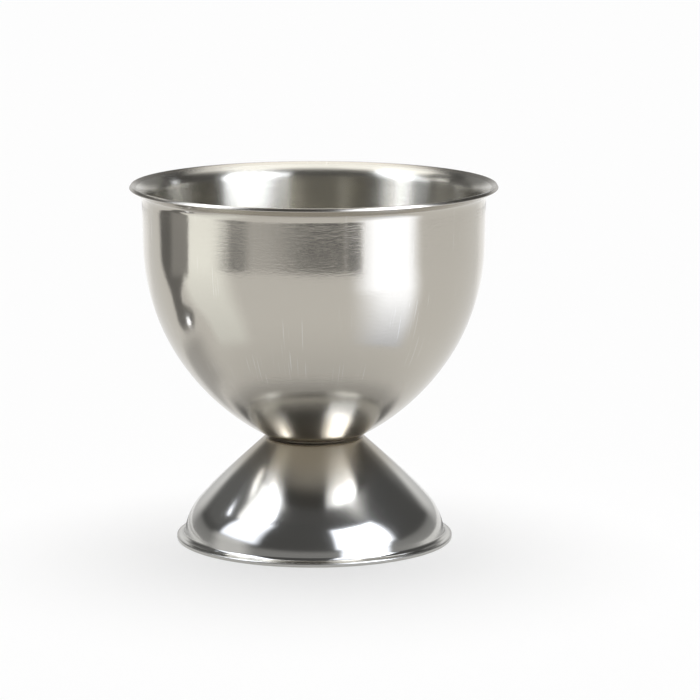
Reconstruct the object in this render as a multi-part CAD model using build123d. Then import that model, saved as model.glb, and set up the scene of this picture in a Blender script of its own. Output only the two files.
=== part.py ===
from build123d import *
import math
import os
from collections import namedtuple

# Footed egg cup pressed from stainless steel sheet. Two deep-drawn shells, a bowl
# with a turned-out lip and a trumpet foot with a flat rim, stand back to back on
# one resistance spot weld. Everything is turned about Z. Z = 0 is the table that
# the foot's rim rests on, and sizes are in mm.

# Driving dimensions
CUP_DIAMETER = 46.0          # over the lip
CUP_HEIGHT = 45.0            # from the table to the top of the lip
FOOT_DIAMETER = 34.8         # over the foot's rim
SEAM_HEIGHT = 12.95          # face where the bowl sits on the foot
SHEET = 0.5                  # thickness of both shells
EDGE_ROUND = 0.12            # deburred corner of a trimmed sheet edge

# Bowl, outer face
BOWL_SEAT_RADIUS = 5.1       # flat bottom of the bowl
BOWL_HEEL_BEND = 1.2         # from the flat bottom into the belly
BOWL_HEEL_TURN = 26.9        # degrees
BOWL_BELLY_BEND = 29.75      # lower part of the egg-shaped wall
BOWL_BELLY_TURN = 27.4
BOWL_SHOULDER_BEND = 26.75   # upper part of the egg-shaped wall
WALL_LEAN = 1.0              # degrees by which the wall still opens below the lip
LIP_UNDER_BEND = 1.2         # where the wall turns out into the lip
LIP_CLIMB = 28.0             # degrees by which the lip still rises outwards

# Foot, outer face
FOOT_SEAT_RADIUS = 5.95      # flat top disc of the foot
FOOT_CROWN_BEND = 0.8        # from the top disc into the cone
CONE_SLOPE = 42.4            # degrees below level
FOOT_FLARE_BEND = 50.0       # slow curve at the end of the cone
FOOT_FLARE_TURN = 6.5
FOOT_WALL_BEND = 7.55        # round shoulder above the rim
FOOT_WALL_TURN = 32.9
FOOT_RIM_BEND = 0.6          # hollow corner between wall and rim

# Spot weld on the axis
NUGGET_DIAMETER = 4.0
NUGGET_THICKNESS = 0.4       # half of it in each sheet
ELECTRODE_MARK_DIAMETER = 5.0
ELECTRODE_MARK_DEPTH = 0.06

Straight = namedtuple("Straight", "length")
Bend = namedtuple("Bend", "radius turn")     # turn in degrees, positive to the left


def bend_shift(bend, heading):
    """Rise and reach of a bend that is entered at this heading."""
    side = math.copysign(bend.radius, bend.turn)
    into, out = math.radians(heading), math.radians(heading + bend.turn)
    return Vector(side * (math.sin(out) - math.sin(into)), side * (math.cos(into) - math.cos(out)))


def follow(runs):
    """Reach (X) and rise (Y) of a chain of runs that sets off outwards, and its last heading."""
    place, heading = Vector(0, 0), 0.0
    for run in runs:
        if isinstance(run, Bend):
            place += bend_shift(run, heading)
            heading += run.turn
        else:
            place += Vector(run.length, 0).rotate(Axis.Z, heading)
    return place, heading


def sheet_face(start, runs, offset):
    """Edges of the sheet face that lies `offset` to the left of a chain of runs."""
    place, heading = Vector(*start) + Vector(0, offset), 0.0
    edges = []
    for run in runs:
        direction = Vector(1, 0).rotate(Axis.Z, heading)
        if isinstance(run, Bend):
            radius = run.radius - offset * math.copysign(1, run.turn)
            edge = JernArc(place, direction, radius, run.turn)
            heading += run.turn
        else:
            edge = Line(place, place + direction * run.length)
        edges.append(edge)
        place = edge @ 1
    return edges


def pressed_shell(start, runs, offset):
    """Sheet of constant thickness along the runs, turned about Z, with its rim deburred."""
    first, second = sheet_face(start, runs, 0), sheet_face(start, runs, offset)
    hub = Line(first[0] @ 0, second[0] @ 0)
    trimmed_edge = Line(first[-1] @ 1, second[-1] @ 1)
    section = make_face(Curve() + first + second + [hub, trimmed_edge])
    corners = [section.vertices().sort_by_distance(face[-1] @ 1)[0] for face in (first, second)]
    section = fillet(corners, EDGE_ROUND)
    return revolve(Plane.XZ * section, Axis.Z)


def bowl_shell():
    """Bowl from its flat bottom up the egg-shaped wall and out over the lip."""
    shoulder_turn = 90.0 - WALL_LEAN - BOWL_BELLY_TURN - BOWL_HEEL_TURN
    belly = [
        Straight(BOWL_SEAT_RADIUS),
        Bend(BOWL_HEEL_BEND, BOWL_HEEL_TURN),
        Bend(BOWL_BELLY_BEND, BOWL_BELLY_TURN),
        Bend(BOWL_SHOULDER_BEND, shoulder_turn),
    ]
    lip_bend = Bend(LIP_UNDER_BEND, WALL_LEAN + LIP_CLIMB - 90.0)
    lean, climb = math.radians(WALL_LEAN), math.radians(LIP_CLIMB)
    # What the two straights, the wall and the lip, have to span. Rounding its tilted edge
    # takes a little off the lip's reach and height.
    bends = follow(belly)[0] + bend_shift(lip_bend, 90.0 - WALL_LEAN)
    edge_loss = EDGE_ROUND * (math.cos(climb) + math.sin(climb) - 1)
    reach = CUP_DIAMETER / 2 + edge_loss - bends.X
    rise = CUP_HEIGHT + edge_loss - SHEET * math.cos(climb) - SEAM_HEIGHT - bends.Y
    wall = Straight((rise * math.cos(climb) - reach * math.sin(climb)) / math.cos(lean + climb))
    lip = Straight((reach * math.cos(lean) - rise * math.sin(lean)) / math.cos(lean + climb))
    return pressed_shell((0, SEAM_HEIGHT), belly + [wall, lip_bend, lip], SHEET)


def foot_shell():
    """Foot from its flat top disc down the trumpet wall and out over the rim."""
    crown = [Straight(FOOT_SEAT_RADIUS), Bend(FOOT_CROWN_BEND, -CONE_SLOPE)]
    flare = [Bend(FOOT_FLARE_BEND, -FOOT_FLARE_TURN), Bend(FOOT_WALL_BEND, -FOOT_WALL_TURN)]
    rim_bend = Bend(FOOT_RIM_BEND, CONE_SLOPE + FOOT_FLARE_TURN + FOOT_WALL_TURN)
    drop = -follow(crown + flare + [rim_bend])[0].Y
    cone_drop = SEAM_HEIGHT - SHEET - drop
    cone = Straight(cone_drop / math.sin(math.radians(CONE_SLOPE)))
    runs = crown + [cone] + flare + [rim_bend]
    rim = Straight(FOOT_DIAMETER / 2 - follow(runs)[0].X)
    return pressed_shell((0, SEAM_HEIGHT), runs + [rim], -SHEET)


def lens(diameter, thickness, height):
    """Double-convex lens on the axis with its middle plane at `height`."""
    half, bulge = diameter / 2, thickness / 2
    ball = (half**2 + bulge**2) / (2 * bulge)
    lower = Pos(0, 0, height + ball - bulge) * Sphere(ball)
    upper = Pos(0, 0, height - ball + bulge) * Sphere(ball)
    return lower & upper


def electrode_mark(height):
    """Shallow round dent that a welding electrode leaves in the sheet face at `height`."""
    return lens(ELECTRODE_MARK_DIAMETER, 2 * ELECTRODE_MARK_DEPTH, height)


nugget = lens(NUGGET_DIAMETER, NUGGET_THICKNESS, SEAM_HEIGHT)
pieces = {
    "bowl": bowl_shell() - nugget - electrode_mark(SEAM_HEIGHT + SHEET),
    "foot": foot_shell() - nugget - electrode_mark(SEAM_HEIGHT - SHEET),
    "weld_nugget": nugget,
}

os.makedirs("parts", exist_ok=True)
for name, piece in pieces.items():
    export_step(piece, f"parts/{name}.step")
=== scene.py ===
import math
from collections import namedtuple

import bpy
import numpy as np
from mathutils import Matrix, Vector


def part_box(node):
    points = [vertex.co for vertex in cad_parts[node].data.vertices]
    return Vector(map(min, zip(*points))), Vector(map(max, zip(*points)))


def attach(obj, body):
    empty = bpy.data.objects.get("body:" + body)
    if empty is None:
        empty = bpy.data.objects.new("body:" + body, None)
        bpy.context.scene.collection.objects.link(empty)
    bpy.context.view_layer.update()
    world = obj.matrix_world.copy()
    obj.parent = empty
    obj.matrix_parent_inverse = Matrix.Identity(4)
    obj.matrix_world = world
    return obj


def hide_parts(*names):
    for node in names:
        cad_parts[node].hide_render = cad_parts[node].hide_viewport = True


# Looks of a footed egg cup: a satin bowl, brushed round its axis, on a polished foot.
# Both shells are drawn again here from the same section as the CAD solids, finely
# enough that their reflections run smooth. Lengths are in millimetres, angles in degrees.

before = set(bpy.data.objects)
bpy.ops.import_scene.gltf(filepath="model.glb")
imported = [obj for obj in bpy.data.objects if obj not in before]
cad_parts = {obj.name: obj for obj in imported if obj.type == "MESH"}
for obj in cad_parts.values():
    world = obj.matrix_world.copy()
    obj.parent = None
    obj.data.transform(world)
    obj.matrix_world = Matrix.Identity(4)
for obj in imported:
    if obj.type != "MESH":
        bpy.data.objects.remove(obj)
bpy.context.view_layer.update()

MM = 0.001

# The shells' section. The overall sizes come from the frame, the others are those of the solids.
LIP_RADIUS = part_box("bowl")[1].x / MM
CUP_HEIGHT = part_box("bowl")[1].z / MM
SEAM_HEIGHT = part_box("bowl")[0].z / MM
FOOT_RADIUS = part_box("foot")[1].x / MM
SHEET = 0.5
EDGE_ROUND = 0.12
BOWL_SEAT_RADIUS = 5.1
BOWL_HEEL = (1.2, 26.9)          # radius of a bend and its turn, as in the pairs below
BOWL_BELLY = (29.75, 27.4)
BOWL_SHOULDER_BEND = 26.75
WALL_LEAN = 1.0
LIP_UNDER_BEND = 1.2
LIP_CLIMB = 28.0
FOOT_SEAT_RADIUS = 5.95
FOOT_CROWN_BEND = 0.8
CONE_SLOPE = 42.4
FOOT_FLARE = (50.0, 6.5)
FOOT_WALL = (7.55, 32.9)
FOOT_RIM_BEND = 0.6
NUGGET = (4.0, 0.4)              # diameter and thickness of the weld
ELECTRODE_MARK = (5.0, 0.12)     # diameter and twice the depth

# How finely the shells are meshed
RING_STEPS = 288                 # round the axis
LONGEST_STEP = 0.4
BEND_STEP = 9.0                  # turn in one step of a bend
CAP_POINTS = 9                   # from the axis to the edge of a weld's or a mark's cap
ROUND_POINTS = 6                 # on each rounded corner of a trimmed edge
SAME_POINT = 1e-6                # points closer than this are one
EDGE_ROWS = 2                    # rows of the inner face that get the trimmed edge's painted shade and roughness

# Texture of the steel, in cycles for each mm
BRUSHING = (0.22, 5.0)           # fine brush lines: round the axis, and across them
SKIN = (0.9, 3.6)                # unevenness of the pressed sheet, drawn out the same way
POLISH_SPOTS = 0.12              # broad places that are polished more or less
WORN_SPOTS = 0.16                # places that have scratches
SCRATCHES = (130.0, 0.12)        # scratches down the sheet: in a radian's turn, and for each mm
NOISE_RANGE = (0.3, 0.7)         # where most values of a noise lie
SCRATCHED = (0.66, 0.72)         # from which value of its noise on a scratch shows, and shows fully
WORN = (0.5, 0.6)                # the same for the places that have scratches
POLISH_SPREAD = 0.1              # share by which the roughness goes up and down
BRUSH_TONE = 25.0                # how much lighter or darker a brush line is, for each mm of its depth
# Where along the sheet a finish goes from what it is near the axis to what it is near the rim
POLISH_REACH = (12.0, 30.0)

# Trimmed edges: how far their painted shade reaches, how much darker that painted shade is, and how much
# rougher they are
EDGE_SHADE = 0.3
EDGE_PAINTED_SHADE = 0.15
EDGE_ROUGHER = 0.12
NO_EDGE = 1000.0                 # an edge that lies past the end of the sheet

# Film of oxide and old polish in the crevice round the weld: its radii, and how matt it is
FILM_REACH = (5.9, 6.4)
FILM = 0.55

# Tint round the weld, partly what the weld's heat left on the steel and partly painted shade under
# the bowl: a colour, the radii between which it fades out, and how much rougher the steel is there
WeldTintAndShade = namedtuple("WeldTintAndShade", "colour near far rougher")
BOWL_TINT = WeldTintAndShade((0.88, 0.84, 0.78), near=5.4, far=7.2, rougher=0.09)
FOOT_TINT = WeldTintAndShade((0.8, 0.74, 0.65), near=7.5, far=12.0, rougher=0.1)

# Camera: in front of the cup, looking down at it
CAMERA_DISTANCE = 450.0
CAMERA_HEIGHT = 103.9
CAMERA_SIDE = 4.5
CAMERA_PITCH = 10.076
LENS = 187.0
SENSOR = 36.0


# --- the section of a pressed sheet -------------------------------------------------


def bend_points(place, heading, radius, turn):
    """Points along a bend that is entered at `place` (r, z), and its last heading, in degrees."""
    length = radius * math.radians(abs(turn))
    count = max(2, math.ceil(abs(turn) / BEND_STEP), math.ceil(length / LONGEST_STEP))
    headings = np.radians(heading + turn * np.arange(1, count + 1) / count)
    first = math.radians(heading)
    side = math.copysign(radius, turn)
    r = place[0] + side * (np.sin(headings) - math.sin(first))
    z = place[1] + side * (math.cos(first) - np.cos(headings))
    return list(zip(r, z)), heading + turn


def straight_points(place, heading, length):
    """Points along a straight stretch that starts at `place`."""
    count = math.ceil(length / LONGEST_STEP)
    along = length * np.arange(1, count + 1) / count
    r = place[0] + along * math.cos(math.radians(heading))
    z = place[1] + along * math.sin(math.radians(heading))
    return list(zip(r, z))


def face_points(start, runs, offset):
    """One face of a sheet that follows the runs, `offset` to the left of their line.

    A run is a length, or a bend's (radius, turn) with the turn positive to the left.
    """
    heading = 0.0
    points = [(start[0], start[1] + offset)]
    for run in runs:
        if isinstance(run, tuple):
            radius = run[0] - offset * math.copysign(1, run[1])
            more, heading = bend_points(points[-1], heading, radius, run[1])
        else:
            more = straight_points(points[-1], heading, run)
        points += more
    return points


def end_of(runs):
    """Where a chain of runs ends, counted from where it starts."""
    return face_points((0.0, 0.0), runs, 0.0)[-1]


def cap_points(diameter, thickness, height, side):
    """Half of a lens on the axis, from its top (side 1) or bottom (side -1) out to its edge."""
    half = diameter / 2
    bulge = thickness / 2
    ball = (half**2 + bulge**2) / (2 * bulge)
    r = half * np.linspace(0, 1, CAP_POINTS)
    return list(zip(r, height + side * (np.sqrt(ball**2 - r**2) - ball + bulge)))


def rim_points(first, second):
    """Trimmed edge of the sheet from corner `first` to corner `second`, both rounded."""
    first = np.array(first)
    second = np.array(second)
    across = (second - first) / np.linalg.norm(second - first)
    out = np.array([across[1], -across[0]]) * math.copysign(1, across[1])
    turn = np.radians(np.linspace(0, 90, ROUND_POINTS))[:, None]
    near = first + EDGE_ROUND * ((1 - np.cos(turn)) * across - (1 - np.sin(turn)) * out)
    far = second - EDGE_ROUND * ((1 - np.cos(turn)) * across + (1 - np.sin(turn)) * out)
    return [tuple(p) for p in near] + [tuple(p) for p in far[::-1]]


def outside(points, radius):
    """The points that lie further out than `radius`, with one put exactly there."""
    return [(radius, points[0][1])] + [p for p in points if p[0] > radius]


def shell_section(start, runs, offset, mark_side):
    """A shell's section: its outer face and its inner face from the axis out, and its trimmed edge.

    The outer face is hollow where the weld sits, and the inner face where the electrode pressed.
    """
    corners = [face_points(start, runs, side)[-1] for side in (0, offset)]
    runs = runs[:-1] + [runs[-1] - EDGE_ROUND]
    outer_face = cap_points(*NUGGET, start[1], mark_side)
    outer_face += outside(face_points(start, runs, 0), NUGGET[0] / 2)
    inner_face = cap_points(*ELECTRODE_MARK, start[1] + offset, -mark_side)
    inner_face += outside(face_points(start, runs, offset), ELECTRODE_MARK[0] / 2)
    return outer_face, rim_points(*corners), inner_face


def sheet_length(section):
    """Distance along the sheet's outer face, from the axis to the rim."""
    outer_face = np.array(section[0])
    return float(np.linalg.norm(np.diff(outer_face, axis=0), axis=1).sum())


def bowl_runs():
    """The bowl's outer face from the axis to the lip's edge."""
    shoulder = (BOWL_SHOULDER_BEND, 90 - WALL_LEAN - BOWL_BELLY[1] - BOWL_HEEL[1])
    belly = [BOWL_SEAT_RADIUS, BOWL_HEEL, BOWL_BELLY, shoulder]
    lip_bend = (LIP_UNDER_BEND, WALL_LEAN + LIP_CLIMB - 90)
    lean = math.radians(WALL_LEAN)
    climb = math.radians(LIP_CLIMB)
    bends = end_of(belly + [lip_bend])
    edge_loss = EDGE_ROUND * (math.cos(climb) + math.sin(climb) - 1)
    reach = LIP_RADIUS + edge_loss - bends[0]
    rise = CUP_HEIGHT + edge_loss - SHEET * math.cos(climb) - SEAM_HEIGHT - bends[1]
    wall = (rise * math.cos(climb) - reach * math.sin(climb)) / math.cos(lean + climb)
    lip = (reach * math.cos(lean) - rise * math.sin(lean)) / math.cos(lean + climb)
    return belly + [wall, lip_bend, lip]


def foot_runs():
    """The foot's outer face from the axis to the rim's edge."""
    crown = [FOOT_SEAT_RADIUS, (FOOT_CROWN_BEND, -CONE_SLOPE)]
    flare = [(FOOT_FLARE[0], -FOOT_FLARE[1]), (FOOT_WALL[0], -FOOT_WALL[1])]
    rim_bend = (FOOT_RIM_BEND, CONE_SLOPE + FOOT_FLARE[1] + FOOT_WALL[1])
    drop = -end_of(crown + flare + [rim_bend])[1]
    cone = (SEAM_HEIGHT - SHEET - drop) / math.sin(math.radians(CONE_SLOPE))
    runs = crown + [cone] + flare + [rim_bend]
    return runs + [FOOT_RADIUS - end_of(runs)[0]]


# --- meshes --------------------------------------------------------------------------


def add_object(name, data):
    """New object in the scene, of the mesh, lamp or camera `data`."""
    thing = bpy.data.objects.new(name, data)
    bpy.context.scene.collection.objects.link(thing)
    return thing


def without_repeats(points):
    """The points, less those that lie on the one before."""
    pairs = zip(points, points[1:])
    return points[:1] + [point for before, point in pairs if math.dist(before, point) > SAME_POINT]


def turned_vertices(outline):
    """Points of an outline turned about Z: a ring for each between its ends, then its two ends."""
    angle = np.arange(RING_STEPS) * 2 * math.pi / RING_STEPS
    r = outline[1:-1, :1]
    z = outline[1:-1, 1:]
    rings = np.stack([r * np.sin(angle), -r * np.cos(angle), z + 0 * angle], axis=2)
    ends = np.array([[0, 0, outline[0, 1]], [0, 0, outline[-1, 1]]])
    return np.concatenate([rings.reshape(-1, 3), ends]) * MM


def turned_faces(count):
    """Faces over those points for `count` rings, in strips that run from end to end."""
    first_end = count * RING_STEPS
    last_end = first_end + 1
    last_ring = first_end - RING_STEPS
    faces = []
    for i in range(RING_STEPS):
        j = (i + 1) % RING_STEPS
        faces.append((first_end, j, i))
        for ring in range(0, last_ring, RING_STEPS):
            beyond = ring + RING_STEPS
            faces.append((ring + i, ring + j, beyond + j, beyond + i))
        faces.append((last_end, last_ring + i, last_ring + j))
    return faces


def turned_shell(name, section):
    """A shell turned about Z, with the distance along the sheet kept for its finish.

    Its first material is that of its outer face, its trimmed edge and the first rows past
    that. Its second is that of the rest of its inner face.
    """
    outer_face, rim, inner_face = section
    outline = np.array(without_repeats(outer_face + rim + inner_face[::-1]))
    run = np.concatenate([[0], np.cumsum(np.linalg.norm(np.diff(outline, axis=0), axis=1))])
    count = len(outline) - 2
    inner_from = len(without_repeats(outer_face + rim)) - 1 + EDGE_ROWS
    mesh = bpy.data.meshes.new(name)
    mesh.from_pydata(turned_vertices(outline).tolist(), [], turned_faces(count))
    mesh.update()
    along = mesh.attributes.new("along_sheet", "FLOAT", "POINT")
    distances = np.concatenate([np.repeat(run[1:-1], RING_STEPS), [0, run[-1]]])
    along.data.foreach_set("value", distances * MM)
    rows = [row >= inner_from for row in range(count + 1)]
    mesh.polygons.foreach_set("use_smooth", [True] * len(mesh.polygons))
    mesh.polygons.foreach_set("material_index", rows * RING_STEPS)
    mesh.update()
    return add_object(name, mesh)


# --- materials -----------------------------------------------------------------------


class Nodes:
    """Short names for building a material's node tree."""

    def __init__(self, material):
        material.use_nodes = True
        self.tree = material.node_tree
        self.shader = self.tree.nodes["Principled BSDF"]

    def add(self, kind, **settings):
        node = self.tree.nodes.new("ShaderNode" + kind)
        for key, value in settings.items():
            setattr(node, key, value)
        return node

    def link(self, source, target):
        self.tree.links.new(source, target)

    def math(self, operation, a, b=None):
        """Sum, product or the like of sockets and numbers."""
        node = self.add("Math", operation=operation)
        for socket, value in zip(node.inputs, (a, b)):
            if isinstance(value, bpy.types.NodeSocket):
                self.link(value, socket)
            elif value is not None:
                socket.default_value = value
        return node.outputs[0]

    def brush_space(self, around, across):
        """Coordinates that draw noise out round the axis: cycles per mm round it, and along the sheet."""
        place = self.add("TexCoord")
        split = self.add("SeparateXYZ")
        self.link(place.outputs["Object"], split.inputs[0])
        along = self.add("Attribute", attribute_name="along_sheet").outputs["Fac"]
        join = self.add("CombineXYZ")
        self.link(self.math("MULTIPLY", split.outputs[0], around / MM), join.inputs[0])
        self.link(self.math("MULTIPLY", split.outputs[1], around / MM), join.inputs[1])
        self.link(self.math("MULTIPLY", along, across / MM), join.inputs[2])
        return join.outputs[0]

    def scratch_space(self, around, down):
        """Coordinates that draw noise out down the sheet: cycles in a radian's turn, and per mm down."""
        place = self.add("TexCoord")
        level = self.add("VectorMath", operation="MULTIPLY")
        self.link(place.outputs["Object"], level.inputs[0])
        level.inputs[1].default_value = (1.0, 1.0, 0.0)
        spoke = self.add("VectorMath", operation="NORMALIZE")
        self.link(level.outputs[0], spoke.inputs[0])
        split = self.add("SeparateXYZ")
        self.link(spoke.outputs[0], split.inputs[0])
        along = self.add("Attribute", attribute_name="along_sheet").outputs["Fac"]
        join = self.add("CombineXYZ")
        self.link(self.math("MULTIPLY", split.outputs[0], around), join.inputs[0])
        self.link(self.math("MULTIPLY", split.outputs[1], around), join.inputs[1])
        self.link(self.math("MULTIPLY", along, down / MM), join.inputs[2])
        return join.outputs[0]

    def scaled(self, vector, cycles):
        """The vector stretched so that one unit of it is a cycle, for `cycles` per mm."""
        node = self.add("VectorMath", operation="SCALE")
        self.link(vector, node.inputs[0])
        node.inputs["Scale"].default_value = cycles / MM
        return node.outputs[0]

    def radius(self, place):
        """Distance of a place from the cup's axis."""
        split = self.add("SeparateXYZ")
        self.link(place, split.inputs[0])
        squares = [self.math("POWER", split.outputs[k], 2.0) for k in (0, 1)]
        return self.math("SQRT", self.math("ADD", *squares))

    def noise(self, vector, detail=2.0, roughness=0.5):
        node = self.add("TexNoise")
        node.inputs["Scale"].default_value = 1.0
        node.inputs["Detail"].default_value = detail
        node.inputs["Roughness"].default_value = roughness
        self.link(vector, node.inputs["Vector"])
        return node.outputs["Fac"]

    def ramp(self, value, low, high, start=0.0, stop=1.0, kind="LINEAR"):
        """Maps a value from low..high to start..stop, clamped."""
        node = self.add("MapRange", interpolation_type=kind)
        self.link(value, node.inputs["Value"])
        for key, number in (("From Min", low), ("From Max", high), ("To Min", start), ("To Max", stop)):
            node.inputs[key].default_value = number
        return node.outputs["Result"]

    def blend(self, factor, a, b, mode="MIX"):
        """Colour `a`, and `b` laid over it by the factor."""
        node = self.add("Mix", data_type="RGBA", blend_type=mode)
        # Inputs 6 and 7 and output 2 are those for colours
        for socket, value in zip((node.inputs[0], node.inputs[6], node.inputs[7]), (factor, a, b)):
            if isinstance(value, bpy.types.NodeSocket):
                self.link(value, socket)
            else:
                socket.default_value = value
        return node.outputs[2]

    def surface(self, factor, a, b):
        """Makes the surface shader `a`, and `b` laid over it by the factor."""
        mix = self.add("MixShader")
        for socket, source in zip(mix.inputs, (factor, a, b)):
            self.link(source, socket)
        self.link(mix.outputs[0], self.tree.nodes["Material Output"].inputs["Surface"])


def steel(name, colour, roughness, anisotropy, brush, mottle, scratch, edge, tint, film=0.0):
    """Stainless steel, brushed round its axis.

    `roughness` is given near the axis and near the rim. `brush` and `mottle` are the depths
    of the brushing and of the pressed sheet's uneven skin. `scratch` is how much lighter
    the fine scratches down the sheet are.
    From shortly before `edge`, a place along the sheet, it has a trimmed edge's painted shade and
    roughness.
    `tint` is its heat tint round the weld together with painted shade under the bowl, and `film` how matt
    it is in the crevice there.
    """
    material = bpy.data.materials.new(name)
    n = Nodes(material)
    n.shader.inputs["Metallic"].default_value = 1.0
    n.shader.inputs["Anisotropic"].default_value = anisotropy
    n.shader.inputs["Anisotropic Rotation"].default_value = 0.25     # of a turn
    tangent = n.add("Tangent", direction_type="RADIAL", axis="Z")
    n.link(tangent.outputs[0], n.shader.inputs["Tangent"])

    # Where a point of the surface is, and the noises that the finish is made of
    place = n.add("TexCoord").outputs["Object"]
    along = n.add("Attribute", attribute_name="along_sheet").outputs["Fac"]
    radius = n.radius(place)
    fine = n.noise(n.brush_space(*BRUSHING), detail=4.0, roughness=0.65)
    skin = n.noise(n.brush_space(*SKIN), detail=3.0, roughness=0.6)
    spots = n.noise(n.scaled(place, POLISH_SPOTS), detail=3.0)
    thin = n.ramp(n.noise(n.scratch_space(*SCRATCHES), detail=1.0), *SCRATCHED)
    worn = n.ramp(n.noise(n.scaled(place, WORN_SPOTS), detail=1.0), *WORN)
    # Where the trimmed edge's painted shade and roughness go
    edge_shade_and_rough = n.ramp(along, (edge - EDGE_SHADE) * MM, edge * MM, kind="SMOOTHSTEP")
    # Where the weld's heat tint and the painted shade under the bowl go
    weld_tint_and_shade = n.ramp(radius, tint.near * MM, tint.far * MM, 1.0, 0.0, "SMOOTHSTEP")

    # Roughness
    spread = n.ramp(spots, *NOISE_RANGE, 1 - POLISH_SPREAD, 1 + POLISH_SPREAD)
    polish = n.ramp(along, *(reach * MM for reach in POLISH_REACH), *roughness, "SMOOTHSTEP")
    rough = n.math("MULTIPLY", spread, polish)
    rough = n.math("ADD", rough, n.ramp(edge_shade_and_rough, 0.0, 1.0, 0.0, EDGE_ROUGHER))
    rough = n.math("ADD", rough, n.ramp(weld_tint_and_shade, 0.0, 1.0, 0.0, tint.rougher))
    n.link(rough, n.shader.inputs["Roughness"])

    # Colour
    grain = n.ramp(fine, *NOISE_RANGE, 1 - BRUSH_TONE * brush, 1 + BRUSH_TONE * brush)
    tone = n.blend(1.0, colour + (1.0,), grain, "MULTIPLY")
    scratches = n.math("MULTIPLY", n.math("MULTIPLY", thin, worn), scratch)
    tone = n.blend(scratches, tone, (1.0, 1.0, 1.0, 1.0))
    # Painted shade at the trimmed edge
    tone = n.blend(n.ramp(edge_shade_and_rough, 0.0, 1.0, 0.0, EDGE_PAINTED_SHADE), tone, (0.0, 0.0, 0.0, 1.0))
    # Heat tint round the weld, with painted shade where the bowl hangs over the foot
    tone = n.blend(weld_tint_and_shade, tone, n.blend(1.0, tone, tint.colour + (1.0,), "MULTIPLY"))
    n.link(tone, n.shader.inputs["Base Color"])
    if film:
        bare = n.ramp(radius, *(reach * MM for reach in FILM_REACH), 1 - film, 1.0, "SMOOTHSTEP")
        n.link(bare, n.shader.inputs["Metallic"])

    # Relief
    normal = None
    for height, depth in ((fine, brush), (skin, mottle)):
        bump = n.add("Bump")
        bump.inputs["Distance"].default_value = depth * MM
        bump.inputs["Strength"].default_value = 1.0
        n.link(height, bump.inputs["Height"])
        if normal:
            n.link(normal, bump.inputs["Normal"])
        normal = bump.outputs[0]
    n.link(normal, n.shader.inputs["Normal"])
    return material


def plain(name, colour, metallic, roughness):
    """One colour all over, without a gloss of its own unless it is metal."""
    material = bpy.data.materials.new(name)
    n = Nodes(material)
    n.shader.inputs["Base Color"].default_value = colour + (1.0,)
    n.shader.inputs["Metallic"].default_value = metallic
    n.shader.inputs["Roughness"].default_value = roughness
    n.shader.inputs["Specular IOR Level"].default_value = 0.0
    return material


# --- the cup ---------------------------------------------------------------------------

bowl_section = shell_section((0.0, SEAM_HEIGHT), bowl_runs(), SHEET, 1)
bowl = turned_shell("satin_bowl", bowl_section)
bowl.data.materials.append(steel(
    "satin_steel", colour=(0.485, 0.457, 0.403), roughness=(0.17, 0.115), anisotropy=0.3,
    brush=0.0002, mottle=0.007, scratch=0.16, edge=sheet_length(bowl_section), tint=BOWL_TINT, film=FILM))
bowl.data.materials.append(steel(
    "brushed_steel", colour=(0.5, 0.482, 0.43), roughness=(0.245, 0.245), anisotropy=1.0,
    brush=0.002, mottle=0.0008, scratch=0.0, edge=NO_EDGE, tint=BOWL_TINT))
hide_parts("bowl")
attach(bowl, "root")

foot_section = shell_section((0.0, SEAM_HEIGHT), foot_runs(), -SHEET, -1)
foot = turned_shell("polished_foot", foot_section)
foot.data.materials.append(steel(
    "polished_steel", colour=(0.56, 0.552, 0.522), roughness=(0.15, 0.1), anisotropy=0.3,
    brush=0.0002, mottle=0.0012, scratch=0.0, edge=sheet_length(foot_section), tint=FOOT_TINT, film=FILM))
foot.data.materials.append(steel(
    "foot_inside_steel", colour=(0.5, 0.488, 0.455), roughness=(0.3, 0.3), anisotropy=0.6,
    brush=0.001, mottle=0.001, scratch=0.0, edge=NO_EDGE, tint=FOOT_TINT))
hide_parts("foot")
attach(foot, "root")

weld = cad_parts["weld_nugget"]
weld.data.materials.clear()
weld.data.materials.append(plain("weld_steel", (0.45, 0.42, 0.38), metallic=1.0, roughness=0.45))

# --- the studio ------------------------------------------------------------------------

FLOOR_HALF = 3000.0
FLOOR_DROP = 0.02                # keeps the floor clear of the foot's flat rim
PAPER = (0.93, 0.93, 0.93)       # colour of the floor
FLOOR_GLOW = 0.62                # share of the floor's white that shadows don't reach
FLOOR_SHEEN = 0.95               # how bright that share is in the steel
SUN = 3.0                        # strength of the one lamp
SUN_SIZE = 56.0                  # how wide it is, so that the cup's shadow is soft
SUN_LEAN = -14.0                 # so that it shines from a little behind the cup
ROOM = 0.1                       # radiance of the dark room round the set
PLAIN_LIGHT = (1.0, 1.0, 1.0)    # colour of the ceiling, the walls and most of the table
DAYLIGHT = (0.95, 1.0, 1.12)     # colour of the windows, and of what stands in their light
TABLE_LIGHT = (0.97, 1.0, 1.0)   # colour of the table's left part
REFLECTOR_POINTS = 25            # along each side of a reflector's mesh


def standing(azimuths, heights, distance):
    """A sheet curved round the cup. Azimuth 0 is towards the camera and 90 to its right."""
    def place(u, v):
        azimuth = math.radians(azimuths[0] + u * (azimuths[1] - azimuths[0]))
        height = heights[0] + v * (heights[1] - heights[0])
        return distance * math.sin(azimuth), -distance * math.cos(azimuth), height
    return place


def lying(knots, height):
    """A level sheet round the cup, from its near knot to its far one.

    A knot is a distance from the axis and the azimuths of the left and right edges there.
    """
    distances, lefts, rights = zip(*knots)

    def place(u, v):
        distance = distances[0] * (distances[-1] / distances[0]) ** v
        left, right = (np.interp(distance, distances, side) for side in (lefts, rights))
        azimuth = math.radians(left + u * (right - left))
        return distance * math.sin(azimuth), -distance * math.cos(azimuth), height
    return place


def overhead(sides, ends, height):
    """A level sheet over the cup, from the near end to the far one."""
    def place(u, v):
        return sides[0] + u * (sides[1] - sides[0]), ends[0] + v * (ends[1] - ends[0]), height
    return place


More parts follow.
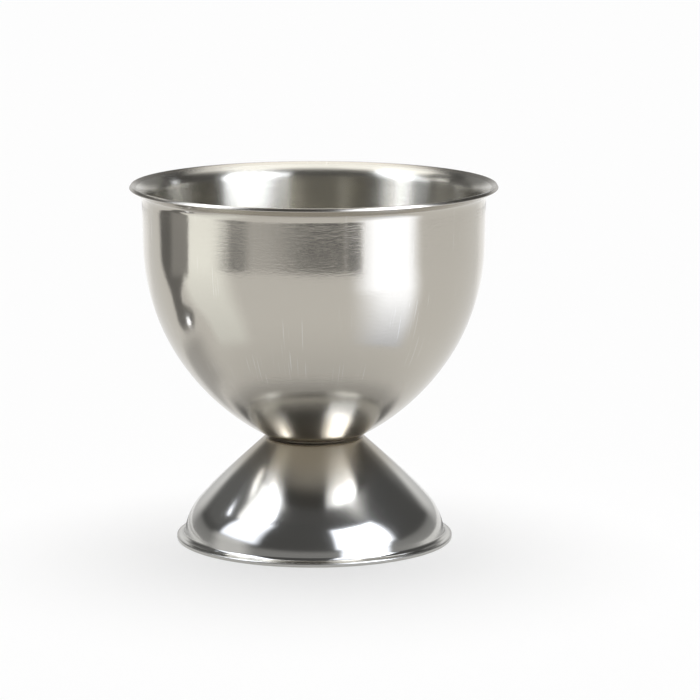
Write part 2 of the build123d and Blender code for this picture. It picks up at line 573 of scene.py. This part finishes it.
def span_mesh(name, place):
    """Mesh of a sheet whose points `place` gives, from shares of its width and height.

    Its UV layer "span" keeps those shares.
    """
    steps = REFLECTOR_POINTS - 1
    shares = [k / steps for k in range(REFLECTOR_POINTS)]
    spans = [(u, v) for v in shares for u in shares]
    vertices = [[c * MM for c in place(*span)] for span in spans]
    faces = []
    for row in range(steps):
        for k in range(row * REFLECTOR_POINTS, row * REFLECTOR_POINTS + steps):
            faces.append((k, k + 1, k + 1 + REFLECTOR_POINTS, k + REFLECTOR_POINTS))
    mesh = bpy.data.meshes.new(name)
    mesh.from_pydata(vertices, [], faces)
    layer = mesh.uv_layers.new(name="span")
    for loop in mesh.loops:
        layer.data[loop.index].uv = spans[loop.vertex_index]
    return mesh


def glow_material(name, glow, soft, colour):
    """Light of a reflector, which fades to clear at its edges."""
    material = bpy.data.materials.new(name)
    n = Nodes(material)
    n.tree.nodes.remove(n.shader)
    split = n.add("SeparateXYZ")
    n.link(n.add("UVMap", uv_map="span").outputs[0], split.inputs[0])
    across = split.outputs[0]
    up = split.outputs[1]
    edges = [
        n.ramp(across, 0.0, soft[0], kind="SMOOTHSTEP"),
        n.ramp(across, 1.0, 1.0 - soft[1], kind="SMOOTHSTEP"),
        n.ramp(up, 0.0, soft[2], kind="SMOOTHSTEP"),
        n.ramp(up, 1.0, 1.0 - soft[3], kind="SMOOTHSTEP"),
    ]
    cover = edges[0]
    for edge in edges[1:]:
        cover = n.math("MULTIPLY", cover, edge)
    shine = n.add("Emission")
    n.link(n.ramp(up, 0.0, 1.0, *glow), shine.inputs["Strength"])
    shine.inputs["Color"].default_value = colour + (1.0,)
    n.surface(cover, n.add("BsdfTransparent").outputs[0], shine.outputs[0])
    return material


def reflector(name, place, glow, soft, colour=PLAIN_LIGHT):
    """Glowing sheet that only the steel sees.

    Its radiance goes from glow[0] at its foot or near end to glow[1] at its top or far one.
    It fades out over the shares `soft` of its size at its left, right, foot and top.
    """
    sheet = add_object(name, span_mesh(name, place))
    sheet.data.materials.append(glow_material(name, glow, soft, colour))
    for kind in ("camera", "diffuse", "transmission", "shadow", "volume_scatter"):
        setattr(sheet, "visible_" + kind, False)


def floor_material():
    """Pale paper, part of whose white is its own where the camera or the steel sees it."""
    material = plain("floor_paper", PAPER, metallic=0.0, roughness=0.9)
    n = Nodes(material)
    rays = n.add("LightPath")
    seen = n.math("MAXIMUM", rays.outputs["Is Camera Ray"], rays.outputs["Is Glossy Ray"])
    seen = n.math("MAXIMUM", seen, rays.outputs["Is Transmission Ray"])
    glow = n.add("Emission")
    n.link(n.ramp(rays.outputs["Is Camera Ray"], 0.0, 1.0, FLOOR_SHEEN, 1.0), glow.inputs["Strength"])
    n.surface(n.math("MULTIPLY", seen, FLOOR_GLOW), n.shader.outputs[0], glow.outputs[0])
    return material


def white_floor():
    """Square of paper that the cup stands on."""
    half = FLOOR_HALF * MM
    corners = [(-half, -half, 0), (half, -half, 0), (half, half, 0), (-half, half, 0)]
    mesh = bpy.data.meshes.new("floor")
    mesh.from_pydata(corners, [], [(0, 1, 2, 3)])
    floor = add_object("floor", mesh)
    floor.location.z = -FLOOR_DROP * MM
    floor.data.materials.append(floor_material())


white_floor()

world = bpy.data.worlds.new("studio")
bpy.context.scene.world = world
world.use_nodes = True
background = world.node_tree.nodes["Background"]
background.inputs["Color"].default_value = (ROOM, ROOM, ROOM, 1)
background.inputs["Strength"].default_value = 1.0

sun_data = bpy.data.lights.new("overhead", "SUN")
sun_data.energy = SUN
sun_data.angle = math.radians(SUN_SIZE)
sun = add_object("overhead", sun_data)
sun.rotation_euler.x = math.radians(SUN_LEAN)
sun.visible_glossy = False

# The room over the cup and round it
reflector("ceiling", overhead((-650, 440), (-150, 600), 600),
          glow=(2.2, 2.2), soft=(0.05, 0.25, 0.12, 0.2))
reflector("far_room", standing((-180, 180), (0, 110), 360),
          glow=(0.38, 0.24), soft=(0.01, 0.01, 0.01, 0.4))
reflector("backdrop", standing((132, 228), (0, 150), 300),
          glow=(0.6, 1.2), soft=(0.2, 0.2, 0.01, 0.5))
reflector("room_behind", standing((130, 230), (120, 240), 310),
          glow=(0.3, 0.3), soft=(0.2, 0.2, 0.3, 0.3))
reflector("room_left", standing((-155, -99), (45, 230), 160),
          glow=(0.16, 0.16), soft=(0.3, 0.06, 0.2, 0.2))

# Windows to the right, with their brighter panes, and what they light below them
reflector("window_right", standing((17, 80), (38, 200), 152),
          glow=(2.6, 2.6), soft=(0.07, 0.2, 0.05, 0.08), colour=DAYLIGHT)
reflector("window_right_pane", standing((24, 72), (45, 180), 149),
          glow=(9.0, 9.0), soft=(0.4, 0.05, 0.05, 0.05), colour=DAYLIGHT)
reflector("window_right_low", standing((21, 72), (27, 46), 148),
          glow=(2.6, 2.6), soft=(0.1, 0.14, 0.01, 0.05), colour=DAYLIGHT)
reflector("window_right_far", standing((21, 72), (0, 62), 345),
          glow=(2.0, 2.6), soft=(0.1, 0.14, 0.01, 0.05), colour=DAYLIGHT)

# Windows to the left, and small bright spots of the room
reflector("window_left", standing((-96, -46), (38, 245), 152),
          glow=(2.0, 2.6), soft=(0.1, 0.22, 0.1, 0.3), colour=DAYLIGHT)
reflector("window_left_high", standing((-98, -58), (170, 320), 152),
          glow=(2.6, 2.6), soft=(0.1, 0.22, 0.3, 0.05), colour=DAYLIGHT)
reflector("window_left_near", standing((-130, -91), (66, 76), 60),
          glow=(2.6, 2.6), soft=(0.04, 0.3, 0.15, 0.15))
reflector("glint_right_near", standing((129, 139), (62, 74), 60),
          glow=(4.0, 4.0), soft=(0.4, 0.1, 0.2, 0.3), colour=DAYLIGHT)
reflector("glint_left_high", standing((-114, -107), (112, 124), 151),
          glow=(5.0, 5.0), soft=(0.3, 0.3, 0.3, 0.3), colour=DAYLIGHT)
reflector("window_left_pane", standing((-80, -64), (60, 290), 149),
          glow=(9.0, 9.0), soft=(0.25, 0.04, 0.1, 0.05), colour=DAYLIGHT)

# The wall under the left windows
reflector("wall_left", standing((-106, -50), (27, 50), 150),
          glow=(0.8, 0.9), soft=(0.35, 0.35, 0.01, 0.3))
reflector("wall_left_far", standing((-106, -50), (0, 66), 345),
          glow=(0.8, 0.8), soft=(0.35, 0.35, 0.01, 0.1))

# The table, where the bowl's outside shows it otherwise than plain
reflector("table_back", lying([(110, 136, 224), (340, 136, 224)], 0.5),
          glow=(1.1, 1.15), soft=(0.12, 0.12, 0.4, 0.01))
reflector("table_window", lying([(100, 20, 76), (340, 24, 75)], 0.5),
          glow=(2.3, 2.3), soft=(0.38, 0.27, 0.01, 0.01), colour=DAYLIGHT)
reflector("table_window_near", lying([(40, 20, 70), (59, 20, 74), (100, 20, 76)], 0.5),
          glow=(0.95, 2.3), soft=(0.55, 0.28, 0.02, 0.01), colour=DAYLIGHT)
reflector("table_left", lying([
    (38, -72, -38), (60, -78, -40), (85, -92, -44), (120, -98, -47),
    (200, -97, -50), (340, -97, -50),
], 0.5), glow=(1.1, 1.75), soft=(0.22, 0.35, 0.1, 0.01), colour=TABLE_LIGHT)
reflector("table_front", lying([(165, -57, 33), (340, -57, 33)], 0.6),
          glow=(0.7, 0.7), soft=(0.04, 0.05, 0.35, 0.01))

# Dark things on the table: in front, and to the left
reflector("patch_left", lying([(160, -74, -38), (262, -70, -38)], 0.7),
          glow=(0.05, 0.08), soft=(0.6, 0.3, 0.85, 0.25), colour=DAYLIGHT)
reflector("patch_middle", lying([(168, -22, 33), (266, -44, 33)], 0.7),
          glow=(0.02, 0.02), soft=(0.55, 0.1, 0.6, 0.2), colour=DAYLIGHT)
reflector("patch_line", lying([(185, 18.2, 22.8), (240, 18.2, 22.8)], 0.8),
          glow=(0.5, 0.5), soft=(0.35, 0.35, 0.3, 0.4))
reflector("dark_left", lying([
    (54, -103, -92), (58, -107, -89), (67, -111, -85), (76, -109, -87),
    (84, -109, -96.5), (100, -109, -96), (129, -114, -92), (178, -120, -89),
    (340, -126, -88),
], 0.7), glow=(0.25, 0.2), soft=(0.15, 0.08, 0.08, 0.01))
reflector("dark_left_pale", lying([(130, -109, -88), (340, -109, -88)], 0.8),
          glow=(0.4, 0.4), soft=(0.3, 0.03, 0.2, 0.01))

# Shade and shine close to the foot
reflector("shade_left", lying([(24, -160, -70), (60, -125, -76)], 0.6),
          glow=(0.6, 0.6), soft=(0.3, 0.4, 0.3, 0.3))
reflector("glint_left", lying([(60, -96.5, -92.5), (67, -96.5, -92.5)], 1.0),
          glow=(6.0, 6.0), soft=(0.3, 0.3, 0.3, 0.3), colour=DAYLIGHT)
reflector("floor_shade", lying([(17.7, -180, 180), (26, -180, 180)], 0.3),
          glow=(0.5, 0.6), soft=(0.001, 0.001, 0.01, 0.9))
reflector("shade_foot_left", lying([(17.7, -165, -95), (26, -160, -95)], 0.4),
          glow=(0.1, 0.4), soft=(0.2, 0.3, 0.01, 0.8))
reflector("shade_foot_right", lying([(17.7, 95, 165), (26, 95, 160)], 0.4),
          glow=(0.1, 0.4), soft=(0.3, 0.2, 0.01, 0.8))

camera_data = bpy.data.cameras.new("camera")
camera_data.lens = LENS
camera_data.sensor_width = SENSOR
camera = add_object("camera", camera_data)
camera.location = (CAMERA_SIDE * MM, -CAMERA_DISTANCE * MM, CAMERA_HEIGHT * MM)
camera.rotation_euler = (math.radians(90 - CAMERA_PITCH), 0, 0)
bpy.context.scene.camera = camera
bpy.context.scene.view_settings.view_transform = "Standard"
